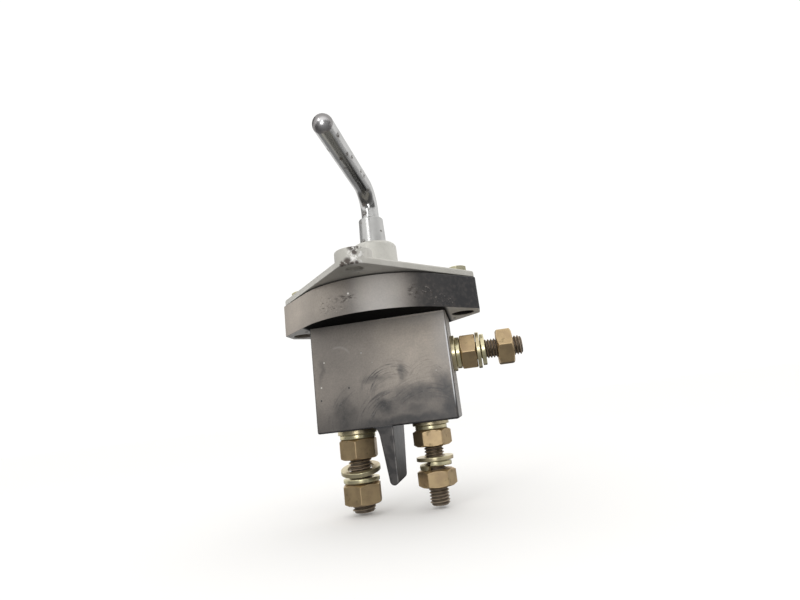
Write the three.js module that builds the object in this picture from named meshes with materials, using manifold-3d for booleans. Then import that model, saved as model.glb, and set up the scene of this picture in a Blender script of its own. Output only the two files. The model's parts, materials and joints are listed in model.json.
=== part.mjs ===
// Lever-operated battery switch: a phenolic housing with three terminal studs, under a cast cover.
// Millimetres, +Z up along the shaft. The group's origin is on the shaft's axis, in the plane where
// the cover's two raised pads meet a panel. Inside, heights are counted from the flange's underside.
import * as THREE from "three";
import { mergeVertices } from "three/addons/utils/BufferGeometryUtils.js";
import Module from "manifold-3d";

const wasm = await Module();
wasm.setup();

// ---------------------------------------------------------------- driving dimensions
const FIT = 0.05; // gap between faces that touch
const CLEAR = 0.3; // gap around pieces that pass through or slide
const SIDES = 24; // facets of a round surface

const BODY = { x: 35.3, y: 17.2, bottom: -53.1, edge: 1.2 }; // half sizes of the box-shaped body
const CAVITY = { x: 31.3, y: 13.2, floor: -46 };
const FLANGE = { top: 17.2, tipX: 53, tipY: 5.6, noseY: 40.2, noseR: 46 };
const EAR = { x: 44, hole: 3.4, pocket: 5.9, pocketDepth: 10 };
const VENT = { x: 38.9, y: 11.5, r: 1, depth: 3 }; // small blind hole beside each ear
const FIN = { right: 2.93, tipLeft: -1.4, rootLeft: -4.3, bottom: -80.2, backDraft: 0.34 };

const PLATE = { bottom: 17.6, top: 21, tipX: 52.5, tipY: 4.5, cornerY: 51.5, cornerR: 8.6 };
const PAD = { top: 25.5, r: 8.6, hole: 3.75 };
const BOSS = { r: 12.6, top: 44.9, bore: 8.1, boreTop: 40.6, mouth: 7.6 };
const GASKET = { bottom: 17.25, top: 17.55, inset: 1.2, hole: 23 };

const SHAFT = { r: 5, bottom: -1.5, top: 53.8 };
const HUB = { bottom: 45.6, top: 60.8, rBottom: 7.35, rTop: 6.85, socket: 55.5 };
const ROD = { r: 4.9, foot: 55.7, bendZ: 77.6, bendR: 12.5, tip: [-4.3, -66.3, 82.2] };
const PIN = { r: 1.5, hubZ: 50, hubFrom: -3, hubTo: 6.8, camZ: 10.5 };
const BUSH = { r: 8, bore: 5.1, bottom: 19.2, top: 40.4 };
const SEAL = { r: 7.5, bore: 5.15, bottom: 41, top: 44.6 };
const CLIP = { r: 7, groove: 4.5, bottom: 17.75, top: 18.75 };

const DRUM = { r: 14.5, bottom: 6, top: 14.7, low: -1 }; // low is the ramp's foot
const RAMP = { rise: 0.06, inner: 7, outer: 14, from: -17, to: 107 }; // rise in mm per degree
const POST = { half: 12, inner: 7.5, outer: 12.5 }; // follower posts, half width in degrees
const DETENT = { angle: 30, radius: 9.5, ball: 3, centre: 13.05, bore: 3.15, boreBottom: 4 };
const DETENT_PLATE = { r: 22, bottom: 15.2, top: 17.2, hole: 6.2, groove: 0.9, pocket: 2.4 };

const CARRIAGE = { x: 16, y: 12.9, bottom: -13, top: -6 };
const STEM = { r: 2.5, headR: 4, headTop: -3.6, bottom: -30.6 };
const BRIDGE = { x: 23.8, y: 5.5, bottom: -27, top: -24 };
const TERMINAL_X = 19.4;
const TIP = { r: 4, thick: 1.45, fixedTop: -33.2 };
const BLOCK = { inner: 11, outer: 28.9, y: 9, top: -36 };
const STRIP = { inner: 29.1, outer: 31, y: 7, top: -10 };
const SIDE = { z: -20.5, headX: 24.5, headAF: 15 };
const RETURN_SPRING = { y: 9.3, r: 2.9, wire: 0.45, post: 1.8, postTop: -38 };

// Each terminal: stud radius, nut size across flats, washer radii, and the places along the stud,
// as distances from the body's face, of the clamped stack and of the loose stack below it.
const M12 = { stud: 6, af: 18, flat: 10.2, spring: 9.3, nutHeight: 10 };
const M10 = { stud: 5, af: 17, flat: 9.3, spring: 8.1, nutHeight: 8 };

const MATERIALS = {
  phenolic: material(0x3b3532, 0.35, 0),
  cast: material(0xb4b2ae, 0.6, 0.8),
  gasket: material(0x4a3b2c, 0.9, 0),
  zinc: material(0xa58f5c, 0.4, 0.85),
  washer: material(0xc7b26c, 0.3, 0.9),
  stud: material(0x5a4a38, 0.5, 0.8),
  steel: material(0x9c9c9a, 0.3, 0.95),
  satin: material(0xa8a8a6, 0.45, 0.9),
  bronze: material(0x9a6b35, 0.4, 0.9),
  rubber: material(0x1b1b1b, 0.8, 0),
  spring: material(0x77777a, 0.4, 0.9),
  copper: material(0xb0643c, 0.35, 0.95),
  silver: material(0xc9c9c6, 0.3, 0.95),
  insulator: material(0x5d4030, 0.6, 0),
};

function material(color, roughness, metalness) {
  return new THREE.MeshStandardMaterial({ color, roughness, metalness });
}

// ---------------------------------------------------------------- geometry helpers
const rad = THREE.MathUtils.degToRad;

// A three.js geometry as a manifold-3d solid, and back.
function solid(geometry) {
  const g = geometry.clone();
  g.deleteAttribute("normal");
  g.deleteAttribute("uv");
  const merged = mergeVertices(g, 1e-4);
  return new wasm.Manifold(
    new wasm.Mesh({
      numProp: 3,
      vertProperties: merged.attributes.position.array,
      triVerts: new Uint32Array(merged.index.array),
    }),
  );
}

function geometryOf(body) {
  const mesh = body.getMesh();
  const g = new THREE.BufferGeometry();
  g.setAttribute("position", new THREE.BufferAttribute(mesh.vertProperties, 3));
  g.setIndex(new THREE.BufferAttribute(mesh.triVerts, 1));
  const flat = g.toNonIndexed();
  flat.computeVertexNormals();
  return flat;
}

const join = (...geometries) =>
  geometryOf(geometries.map(solid).reduce((whole, next) => whole.add(next)));
const cut = (base, ...tools) =>
  geometryOf(tools.map(solid).reduce((whole, tool) => whole.subtract(tool), solid(base)));

// A shape extruded along Z from one height to another.
function prism(shape, bottom, top, curveSegments = 8) {
  const options = { depth: top - bottom, bevelEnabled: false, curveSegments };
  return new THREE.ExtrudeGeometry(shape, options).translate(0, 0, bottom);
}

function cylinder(r, bottom, top, x = 0, y = 0, sides = SIDES) {
  return new THREE.CylinderGeometry(r, r, top - bottom, sides)
    .rotateX(Math.PI / 2)
    .translate(x, y, (bottom + top) / 2);
}

function box(x0, x1, y0, y1, z0, z1) {
  return new THREE.BoxGeometry(x1 - x0, y1 - y0, z1 - z0).translate(
    (x0 + x1) / 2,
    (y0 + y1) / 2,
    (z0 + z1) / 2,
  );
}

// A profile of [radius, height] points, turned round the Z axis; it runs anticlockwise.
function turned(profile, sides = SIDES) {
  const points = profile.map(([r, z]) => new THREE.Vector2(r, z));
  return new THREE.LatheGeometry(points, sides).rotateX(Math.PI / 2);
}

function ring(inner, outer, bottom, top, sides = SIDES) {
  const corners = [
    [inner, bottom],
    [outer, bottom],
    [outer, top],
    [inner, top],
    [inner, bottom],
  ];
  return turned(corners, sides);
}

function hexagon(acrossFlats, corner = 0) {
  const r = acrossFlats / Math.sqrt(3);
  const points = Array.from({ length: 6 }, (_, k) => {
    const angle = rad(corner + 60 * k);
    return new THREE.Vector2(r * Math.cos(angle), r * Math.sin(angle));
  });
  return new THREE.Shape(points);
}

function withHole(shape, r, x = 0, y = 0) {
  const hole = new THREE.Path();
  hole.absarc(x, y, r, 0, 2 * Math.PI, true);
  shape.holes.push(hole);
  return shape;
}

// An outline with two blunt tips on X and two round noses on Y, joined by straight sides.
function rhombus(tipX, tipY, noseCentreY, noseR) {
  const reach = Math.hypot(tipX, tipY - noseCentreY);
  // the nose's arc starts where the straight side touches it, counted from +X
  const angle = Math.atan2(tipY - noseCentreY, tipX) + Math.acos(noseR / reach);
  const shape = new THREE.Shape();
  shape.moveTo(tipX, -tipY);
  shape.lineTo(tipX, tipY);
  shape.absarc(0, noseCentreY, noseR, angle, Math.PI - angle, false);
  shape.lineTo(-tipX, tipY);
  shape.lineTo(-tipX, -tipY);
  shape.absarc(0, -noseCentreY, noseR, Math.PI + angle, 2 * Math.PI - angle, false);
  shape.closePath();
  return shape;
}

// A coil spring along Z: a round wire swept along its helix.
function coil(r, wire, bottom, top, turns, x = 0, y = 0) {
  class Helix extends THREE.Curve {
    getPoint(t, target = new THREE.Vector3()) {
      const angle = 2 * Math.PI * turns * t;
      const z = bottom + wire + (top - bottom - 2 * wire) * t;
      return target.set(x + r * Math.cos(angle), y + r * Math.sin(angle), z);
    }
  }
  const section = new THREE.Shape();
  section.absarc(0, 0, wire, 0, 2 * Math.PI, false);
  const options = { extrudePath: new Helix(), steps: 8 * turns, curveSegments: 2 };
  return new THREE.ExtrudeGeometry(section, options);
}

// A sector between two radii whose lower and upper faces follow the heights given by angle.
function sector(inner, outer, from, to, lower, upper, steps = 12) {
  const g = new THREE.BoxGeometry(1, 1, 1, 1, steps, 1).translate(0.5, 0.5, 0.5);
  const p = g.attributes.position;
  for (let i = 0; i < p.count; i++) {
    const degrees = from + (to - from) * p.getY(i);
    const r = inner + (outer - inner) * p.getX(i);
    const z = p.getZ(i) > 0.5 ? upper(degrees) : lower(degrees);
    p.setXYZ(i, r * Math.cos(rad(degrees)), r * Math.sin(rad(degrees)), z);
  }
  return g;
}

// ---------------------------------------------------------------- the scene graph
const part = new THREE.Group();
const frame = new THREE.Group(); // heights from the flange's underside
frame.position.z = -PAD.top;
part.add(frame);

function add(name, geometry, look, parent = frame) {
  const mesh = new THREE.Mesh(geometry, MATERIALS[look]);
  mesh.name = name;
  parent.add(mesh);
  return mesh;
}

// ---------------------------------------------------------------- housing
function bodyBlock() {
  const { x, y, edge, bottom } = BODY;
  const shape = new THREE.Shape();
  shape.absarc(x - edge, y - edge, edge, 0, Math.PI / 2);
  shape.absarc(edge - x, y - edge, edge, Math.PI / 2, Math.PI);
  shape.absarc(edge - x, edge - y, edge, Math.PI, 1.5 * Math.PI);
  shape.absarc(x - edge, edge - y, edge, 1.5 * Math.PI, 2 * Math.PI);
  shape.closePath();
  const round = 1; // the bottom's rounded edge
  const options = {
    depth: 1 - bottom - 2 * round,
    bevelThickness: round,
    bevelSize: round,
    bevelOffset: -round,
    bevelSegments: 2,
    curveSegments: 3,
  };
  return new THREE.ExtrudeGeometry(shape, options).translate(0, 0, bottom + round);
}

function flange() {
  const { tipX, tipY, noseY, noseR, top } = FLANGE;
  return prism(rhombus(tipX, tipY, noseY - noseR, noseR), 0, top, 9);
}

// The barrier fin between the lower studs: its left side flares into the body.
function fin() {
  const { right, tipLeft, rootLeft, bottom, backDraft } = FIN;
  const r = (right - tipLeft) / 2;
  const root = BODY.bottom + 1;
  const shape = new THREE.Shape();
  shape.moveTo(right, root);
  shape.lineTo(rootLeft - 3, root);
  shape.lineTo(rootLeft - 3, BODY.bottom);
  shape.quadraticCurveTo(rootLeft - 0.3, BODY.bottom, rootLeft + 0.3, BODY.bottom - 4);
  shape.lineTo(tipLeft, bottom + r);
  shape.absarc(tipLeft + r, bottom + r, r, Math.PI, 2 * Math.PI, false);
  shape.closePath();
  const options = { depth: 2 * BODY.y, bevelEnabled: false, curveSegments: 8 };
  const g = new THREE.ExtrudeGeometry(shape, options).rotateX(Math.PI / 2).translate(0, BODY.y, 0);
  const p = g.attributes.position;
  for (let i = 0; i < p.count; i++) {
    const below = Math.max(0, BODY.bottom - p.getZ(i)); // the back edge slopes forward below the body
    if (p.getY(i) > 0) p.setY(i, BODY.y - backDraft * below);
  }
  return g;
}

function sideHole(r, x0, x1) {
  return cylinder(r, x0, x1).rotateY(Math.PI / 2).translate(0, 0, SIDE.z);
}

function housing() {
  const over = 5; // how far a cutting tool runs past a face
  const recess = DRUM.r + 0.7;
  const tools = [
    box(-CAVITY.x, CAVITY.x, -CAVITY.y, CAVITY.y, CAVITY.floor, FLANGE.top + over),
    cylinder(recess, -2.5, FLANGE.top + over, 0, 0, 32),
    cylinder(DETENT_PLATE.r + CLEAR, DETENT_PLATE.bottom - FIT, FLANGE.top + over, 0, 0, 32),
    cylinder(M12.stud + CLEAR, BODY.bottom - over, CAVITY.floor + over, -TERMINAL_X),
    cylinder(M10.stud + CLEAR, BODY.bottom - over, CAVITY.floor + over, TERMINAL_X),
    sideHole(M10.stud + CLEAR, CAVITY.x - over, BODY.x + over),
  ];
  for (const side of [-1, 1]) {
    tools.push(cylinder(EAR.hole, -over, FLANGE.top + over, side * EAR.x, 0, 16));
    tools.push(cylinder(EAR.pocket, -over, EAR.pocketDepth, side * EAR.x));
    tools.push(cylinder(VENT.r, -over, VENT.depth, side * VENT.x, side * VENT.y, 8));
  }
  const posts = [-1, 1].map((side) =>
    cylinder(RETURN_SPRING.post, CAVITY.floor - 1, RETURN_SPRING.postTop, 0, side * RETURN_SPRING.y, 8),
  );
  return join(cut(join(bodyBlock(), flange(), fin()), ...tools), ...posts);
}

// ---------------------------------------------------------------- cover, gasket and cover bolts
function coverPlate() {
  const { tipX, tipY, cornerY, cornerR, bottom, top } = PLATE;
  const round = 1.5;
  const boss = turned([
    [0, top - 1],
    [BOSS.r + 0.3, top - 1],
    [BOSS.r, BOSS.top - round],
    [BOSS.r - 0.45, BOSS.top - 0.45],
    [BOSS.r - round, BOSS.top],
    [0, BOSS.top],
  ], 36);
  const pieces = [prism(rhombus(tipX, tipY, cornerY, cornerR), bottom, top, 6), boss];
  const tools = [
    cylinder(BOSS.bore, bottom - 5, BOSS.boreTop),
    cylinder(BOSS.mouth, BOSS.boreTop - 1, BOSS.top + 5),
  ];
  for (const side of [-1, 1]) {
    pieces.push(
      turned([
        [0, top - 1],
        [PAD.r, top - 1],
        [PAD.r - 0.2, PAD.top - 0.5],
        [PAD.r - 0.7, PAD.top],
        [0, PAD.top],
      ]).translate(0, side * cornerY, 0),
    );
    tools.push(cylinder(PAD.hole, bottom - 5, PAD.top + 5, 0, side * cornerY, 20));
    tools.push(cylinder(EAR.hole, bottom - 5, top + 5, side * EAR.x, 0, 16));
  }
  return cut(join(...pieces), ...tools);
}

function coverGasket() {
  const { inset, hole, bottom, top } = GASKET;
  const { tipX, tipY, noseY, noseR } = FLANGE;
  const shape = rhombus(tipX - inset, tipY - inset / 2, noseY - noseR, noseR - inset);
  withHole(shape, hole);
  withHole(shape, EAR.hole, EAR.x);
  withHole(shape, EAR.hole, -EAR.x);
  return prism(shape, bottom, top, 8);
}

function coverBolt(side) {
  const headBottom = PLATE.top + FIT;
  const head = prism(hexagon(10, 30), headBottom, headBottom + 4);
  const shank = cylinder(3, 3.6, headBottom + 1, 0, 0, 12);
  return join(head, shank).translate(side * EAR.x, 0, 0);
}

function coverNut(side) {
  const top = EAR.pocketDepth - FIT;
  return prism(withHole(hexagon(10), 3.15), top - 5, top, 10).translate(side * EAR.x, 0, 0);
}

add("housing", housing(), "phenolic");
add("cover_plate", coverPlate(), "cast");
add("cover_gasket", coverGasket(), "gasket");
for (const [side, word] of [[-1, "left"], [1, "right"]]) {
  add(`cover_bolt_${word}`, coverBolt(side), "zinc");
  add(`cover_nut_${word}`, coverNut(side), "zinc");
}

// ---------------------------------------------------------------- lever, hub, shaft and its fittings
// The rod stands in the hub, bends over, and ends in a hemisphere.
function leverRod() {
  const foot = new THREE.Vector3(0, 0, ROD.foot);
  const knee = new THREE.Vector3(0, 0, ROD.bendZ);
  const tip = new THREE.Vector3(...ROD.tip);
  const along = tip.clone().sub(knee).normalize();
  const up = new THREE.Vector3(0, 0, 1);
  const turn = along.angleTo(up);
  const tangent = ROD.bendR * Math.tan(turn / 2);
  const bendStart = knee.clone().addScaledVector(up, -tangent);
  const bendEnd = knee.clone().addScaledVector(along, tangent);
  const inward = along.clone().addScaledVector(up, -along.dot(up)).normalize();
  const centre = bendStart.clone().addScaledVector(inward, ROD.bendR);
  class Bend extends THREE.Curve {
    getPoint(t, target = new THREE.Vector3()) {
      const angle = turn * t;
      return target
        .copy(centre)
        .addScaledVector(inward, -ROD.bendR * Math.cos(angle))
        .addScaledVector(up, ROD.bendR * Math.sin(angle));
    }
  }
  const path = new THREE.CurvePath();
  path.add(new THREE.LineCurve3(foot, bendStart));
  path.add(new Bend());
  path.add(new THREE.LineCurve3(bendEnd, tip));
  const section = new THREE.Shape();
  section.absarc(0, 0, ROD.r, 0, 2 * Math.PI, false);
  const rod = new THREE.ExtrudeGeometry(section, { extrudePath: path, steps: 26, curveSegments: 7 });
  return join(rod, new THREE.SphereGeometry(ROD.r, 14, 10).translate(...ROD.tip));
}

// A cross hole or pin of radius r across the shaft's axis, pointing along an angle from +X.
function crossBar(r, from, to, z, degrees) {
  return cylinder(r, from, to, 0, 0, 10).rotateY(Math.PI / 2).rotateZ(rad(degrees)).translate(0, 0, z);
}

function leverHub() {
  const { bottom, top, rBottom, rTop, socket } = HUB;
  const body = turned([
    [0, SHAFT.top + 0.2],
    [SHAFT.r + 0.1, SHAFT.top + 0.2],
    [SHAFT.r + 0.1, bottom],
    [rBottom, bottom],
    [rTop, top - 0.6],
    [rTop - 0.6, top],
    [ROD.r + 0.1, top],
    [ROD.r + 0.1, socket],
    [0, socket],
  ]);
  return cut(body, crossBar(PIN.r + 0.1, PIN.hubFrom - CLEAR, 10, PIN.hubZ, 90));
}

function shaft() {
  const { r, bottom, top } = SHAFT;
  const body = turned([
    [0, bottom],
    [r - 0.5, bottom],
    [r, bottom + 0.5],
    [r, CLIP.bottom - FIT],
    [CLIP.groove, CLIP.bottom - FIT],
    [CLIP.groove, CLIP.top + FIT],
    [r, CLIP.top + FIT],
    [r, top - 0.5],
    [r - 0.5, top],
    [0, top],
  ]);
  const hubHole = crossBar(PIN.r + 0.1, PIN.hubFrom - CLEAR, 10, PIN.hubZ, 90);
  return cut(body, hubHole, crossBar(PIN.r + 0.1, -10, 10, PIN.camZ, 135));
}

function retainingRing() {
  const shape = new THREE.Shape();
  shape.absarc(0, 0, CLIP.r, rad(30), rad(330), false);
  shape.absarc(0, 0, CLIP.groove + 0.1, rad(330), rad(30), true);
  shape.closePath();
  return prism(shape, CLIP.bottom, CLIP.top, 16);
}

add("lever_rod", leverRod(), "steel");
add("lever_hub", leverHub(), "satin");
add("hub_pin", crossBar(PIN.r, PIN.hubFrom, PIN.hubTo, PIN.hubZ, 90), "steel");
add("shaft", shaft(), "steel");
add("shaft_bush", ring(BUSH.bore, BUSH.r, BUSH.bottom, BUSH.top), "bronze");
add("shaft_seal", ring(SEAL.bore, SEAL.r, SEAL.bottom, SEAL.top), "rubber");
add("retaining_ring", retainingRing(), "spring");

// ---------------------------------------------------------------- cam drum and detent
// The height of the cam's helical face, by angle; the drum's two ramps are half a turn apart.
const rampHeight = (degrees) => DRUM.low + RAMP.rise * degrees;

function camDrum() {
  const { r, bottom, top } = DRUM;
  const ramp = sector(RAMP.inner, RAMP.outer, RAMP.from, RAMP.to, rampHeight, () => bottom + 1);
  const turnedOver = ramp.clone().rotateZ(Math.PI);
  const centre = rad(DETENT.angle);
  const ballX = DETENT.radius * Math.cos(centre);
  const ballY = DETENT.radius * Math.sin(centre);
  return cut(
    join(ring(SHAFT.r + 0.1, r, bottom, top, 30), ramp, turnedOver),
    crossBar(PIN.r + 0.1, -r - 5, r + 5, PIN.camZ, 135),
    cylinder(DETENT.bore, DETENT.boreBottom, top + 5, ballX, ballY, 16),
  );
}

// The plate under the cover: a groove that the ball runs in, and a hole for it at each quarter turn.
function detentPlate() {
  const { r, bottom, top, hole, groove, pocket } = DETENT_PLATE;
  const half = pocket + 0.4;
  const body = turned([
    [hole, bottom],
    [DETENT.radius - half, bottom],
    [DETENT.radius - half + 0.4, bottom + groove],
    [DETENT.radius + half - 0.4, bottom + groove],
    [DETENT.radius + half, bottom],
    [r, bottom],
    [r, top],
    [hole, top],
    [hole, bottom],
  ], 30);
  const holes = [0, 90, 180, 270].map((step) => {
    const angle = rad(DETENT.angle + step);
    const x = DETENT.radius * Math.cos(angle);
    const y = DETENT.radius * Math.sin(angle);
    return cylinder(pocket, bottom - 1, top + 1, x, y, 12);
  });
  return cut(body, ...holes);
}

const detentHome = new THREE.Group();
detentHome.rotation.z = rad(DETENT.angle);
frame.add(detentHome);
const spring = coil(2.3, 0.4, DETENT.boreBottom + FIT, DETENT.centre - DETENT.ball - FIT, 3, DETENT.radius);
add("detent_spring", spring, "spring", detentHome);
const ball = new THREE.SphereGeometry(DETENT.ball, 12, 8).translate(DETENT.radius, 0, DETENT.centre);
add("detent_ball", ball, "steel", detentHome);

add("cam_drum", camDrum(), "steel");
add("cam_pin", crossBar(PIN.r, -13.8, 13.8, PIN.camZ, 135), "steel");
add("detent_plate", detentPlate(), "satin");

// ---------------------------------------------------------------- contact carriage and bridge
// Its two posts rise at +Y and -Y to the cam's ramps.
function carriage() {
  const { x, y, bottom, top } = CARRIAGE;
  const follow = (degrees) => rampHeight(degrees) - CLEAR;
  const post = sector(POST.inner, POST.outer, 90 - POST.half, 90 + POST.half, () => top - 1, follow, 4);
  const block = join(box(-x, x, -y, y, bottom, top), post, post.clone().rotateZ(Math.PI));
  return cut(block, cylinder(STEM.r + 0.15, bottom - 5, top + 5, 0, 0, 20));
}

function stem() {
  const head = cylinder(STEM.headR, CARRIAGE.top + FIT, STEM.headTop, 0, 0, 20);
  return join(head, cylinder(STEM.r, STEM.bottom, CARRIAGE.top + 1, 0, 0, 20));
}

function bridge() {
  const { x, y, bottom, top } = BRIDGE;
  return cut(box(-x, x, -y, y, bottom, top), cylinder(STEM.r + 0.2, bottom - 5, top + 5, 0, 0, 20));
}

add("contact_carriage", carriage(), "insulator");
add("bridge_stem", stem(), "steel");
const stemNut = prism(withHole(hexagon(8), STEM.r + 0.1), STEM.bottom + 0.8, BRIDGE.bottom - FIT, 8);
add("bridge_stem_nut", stemNut, "zinc");
add("contact_bridge", bridge(), "copper");
const contactSpring = coil(5, 0.75, BRIDGE.top + FIT, CARRIAGE.bottom - FIT, 4);
add("contact_spring", contactSpring, "spring");
for (const [side, word] of [[-1, "front"], [1, "back"]]) {
  const { y, r, wire } = RETURN_SPRING;
  const geometry = coil(r, wire, CAVITY.floor + FIT, CARRIAGE.bottom - FIT, 6, 0, side * y);
  add(`return_spring_${word}`, geometry, "spring");
}

// ---------------------------------------------------------------- fixed contacts inside
function block(stud) {
  const floor = CAVITY.floor + FIT;
  const { inner, outer, y, top } = BLOCK;
  const bore = cylinder(stud + 0.15, floor - 5, top - 1.6, TERMINAL_X);
  return cut(box(inner, outer, -y, y, floor, top), bore);
}

for (const [side, word, size] of [[-1, "left", M12], [1, "right", M10]]) {
  const home = new THREE.Group();
  home.rotation.z = side < 0 ? Math.PI : 0; // the left one is the right one turned half round
  frame.add(home);
  add(`fixed_contact_${word}`, block(size.stud), "copper", home);
  const tip = cylinder(TIP.r + 0.5, BLOCK.top + FIT, TIP.fixedTop, TERMINAL_X, 0, 24);
  add(`fixed_contact_tip_${word}`, tip, "silver", home);
  const top = BRIDGE.bottom - FIT;
  const button = cylinder(TIP.r, top - TIP.thick, top, TERMINAL_X, 0, 24);
  add(`bridge_contact_tip_${word}`, button, "silver", home);
}

function busStrip() {
  const { inner, outer, y, top } = STRIP;
  const strip = box(inner, outer, -y, y, CAVITY.floor + FIT, top);
  return cut(strip, sideHole(M10.stud + CLEAR, inner - 5, outer + 5));
}
add("side_bus_strip", busStrip(), "copper");

// ---------------------------------------------------------------- terminals
// Each terminal is built pointing along +Z from the body's face, and its group turns it into place.
function studGeometry(r, from, to) {
  const chamfer = 1;
  return turned([
    [0, from],
    [r, from],
    [r, to - chamfer],
    [r - chamfer, to],
    [0, to],
  ]);
}

function nutGeometry({ stud, af, nutHeight }, at, corner) {
  return prism(withHole(hexagon(af, corner), stud + 0.15), at, at + nutHeight, 12);
}

// A split ring whose ends stand apart by `lift` along the stud, with its gap at an angle.
function springWasher({ stud, spring: outer }, at, thick, lift, gap) {
  const climb = (degrees) => at + (lift * (degrees - gap)) / 350;
  return sector(stud + 0.4, outer, gap, gap + 350, climb, (d) => climb(d) + thick, 22);
}

const TERMINALS = [
  {
    name: "left", size: M12, from: -15.1, to: 40.4, position: [-TERMINAL_X, 0, BODY.bottom],
    turn: [Math.PI, 0, 0], flat: [FIT, 2.2], spring: [2.35, 2.15, 0, 200], nut: [4.6, 25],
    looseFlat: [18.8, 2.2, 12], looseSpring: [23.8, 2.1, 0, 250], looseNut: [26.5, 22],
  },
  {
    name: "right", size: M10, from: -15.1, to: 40.4, position: [TERMINAL_X, 0, BODY.bottom],
    turn: [Math.PI, 0, 0], flat: [FIT, 1.8], spring: [1.95, 2.05, 0, 220], nut: [4.1, 53],
    looseFlat: [17.2, 1.9, 0], looseSpring: [21.35, 2.1, -2.2, 112], looseNut: [23.5, 52],
  },
  {
    name: "side", size: M10, from: SIDE.headX - BODY.x + 4.4, to: 36, position: [BODY.x, 0, SIDE.z],
    turn: [0, Math.PI / 2, 0], flat: [FIT, 2], spring: [2.25, 2.2, 0, 60], nut: [4.7, 36],
    looseFlat: [12.85, 1.9, 0], looseSpring: [14.95, 2.1, 0.4, 90], looseNut: [23.3, 28],
  },
];

for (const t of TERMINALS) {
  const home = new THREE.Group();
  home.position.set(...t.position);
  home.rotation.set(...t.turn);
  frame.add(home);
  let stud = studGeometry(t.size.stud, t.from, t.to);
  if (t.name === "side") stud = join(stud, prism(hexagon(SIDE.headAF), t.from - 4.4, t.from + 0.1));
  add(`stud_${t.name}`, stud, "stud", home);
  const { stud: hole, flat } = t.size;
  add(`flat_washer_${t.name}`, ring(hole + 0.4, flat, t.flat[0], t.flat[0] + t.flat[1]), "washer", home);
  add(`spring_washer_${t.name}`, springWasher(t.size, ...t.spring), "washer", home);
  add(`clamp_nut_${t.name}`, nutGeometry(t.size, ...t.nut), "zinc", home);
  const [at, thick, tilt] = t.looseFlat;
  const loose = ring(hole + (tilt ? 0.7 : 0.4), flat, -thick / 2, thick / 2);
  loose.rotateX(rad(tilt)).translate(0, 0, at + thick / 2);
  add(`loose_flat_washer_${t.name}`, loose, "washer", home);
  add(`loose_spring_washer_${t.name}`, springWasher(t.size, ...t.looseSpring), "washer", home);
  add(`loose_nut_${t.name}`, nutGeometry(t.size, ...t.looseNut), "zinc", home);
}

export default part;
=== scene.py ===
"""Looks for the lever-operated battery switch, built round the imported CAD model.

Shapes are written in millimetres with heights counted from the housing flange's underside, as the
CAD does, and turned into metres in the row frame as each mesh is made.
"""
import json
from math import acos, atan2, cos, degrees, dist, hypot, pi, radians, sin, tan, tau

import bmesh
import bpy
from mathutils import Matrix, Vector

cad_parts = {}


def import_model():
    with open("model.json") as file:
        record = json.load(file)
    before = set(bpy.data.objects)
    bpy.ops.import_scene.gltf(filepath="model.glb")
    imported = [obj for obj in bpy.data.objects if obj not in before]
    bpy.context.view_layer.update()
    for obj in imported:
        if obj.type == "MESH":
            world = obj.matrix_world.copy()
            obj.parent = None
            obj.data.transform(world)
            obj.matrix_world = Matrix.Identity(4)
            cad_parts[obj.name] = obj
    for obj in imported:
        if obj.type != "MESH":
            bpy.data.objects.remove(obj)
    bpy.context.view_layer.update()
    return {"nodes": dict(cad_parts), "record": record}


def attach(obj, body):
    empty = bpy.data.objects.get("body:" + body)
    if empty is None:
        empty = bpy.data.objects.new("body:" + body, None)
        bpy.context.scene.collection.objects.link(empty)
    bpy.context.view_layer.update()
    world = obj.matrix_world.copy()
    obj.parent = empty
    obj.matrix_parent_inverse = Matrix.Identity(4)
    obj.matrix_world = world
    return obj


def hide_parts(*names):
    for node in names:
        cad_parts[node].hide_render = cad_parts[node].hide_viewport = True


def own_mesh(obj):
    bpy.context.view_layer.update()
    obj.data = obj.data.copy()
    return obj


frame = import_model()

MM = 0.001
DROP = 25.5  # mm from the cover's pad plane, the row frame's origin, to the flange's underside
QUARTER = pi / 2
TINY = 1e-6  # mm
WELD, SLIVER = 2e-7, 1e-7  # metres
UP = Vector((0, 0, 1))


def linked(name, data):
    obj = bpy.data.objects.new(name, data)
    bpy.context.collection.objects.link(obj)
    return obj


def put(tree, socket, value):
    """Gives an input a constant, or links a socket to it."""
    if isinstance(value, bpy.types.NodeSocket):
        tree.links.new(value, socket)
    else:
        socket.default_value = value


def add_node(tree, kind, values, **settings):
    """A shader node; values holds a constant or a socket for each named or numbered input."""
    node = tree.nodes.new("ShaderNode" + kind)
    for key, value in settings.items():
        setattr(node, key, value)
    for key, value in values.items():
        put(tree, node.inputs[key], value)
    return node


# ---- camera, floor and light, in metres
LENS, SENSOR = 21.64, 36  # mm
CAMERA_PLACE = (0.04796, -0.25317, -0.0715)
CAMERA_RIGHT = Vector((0.9788, 0.1684, -0.1166))
CAMERA_UP = Vector((0.1499, -0.2008, 0.9681))
FLOOR_SIDE, FLOOR_HEIGHT = 600, -0.1205
SWITCH_MIDDLE = (0, 0, -0.03)
SKY, SKY_STRENGTH = (1, 0.995, 0.985, 1), 1.05
HORIZON = (-0.16, -0.01)  # where the sky fades out
GROUND = {"From Min": -0.1, "From Max": 0.4, "To Min": 0.18, "To Max": 0.3}  # grey, front to back


def camera():
    data = bpy.data.cameras.new("camera")
    data.lens, data.sensor_width = LENS, SENSOR
    data.clip_start = 0.01
    cam = linked("camera", data)
    turn = Matrix((CAMERA_RIGHT, CAMERA_UP, CAMERA_RIGHT.cross(CAMERA_UP))).transposed().to_4x4()
    cam.matrix_world = Matrix.Translation(CAMERA_PLACE) @ turn
    bpy.context.scene.camera = cam


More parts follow.
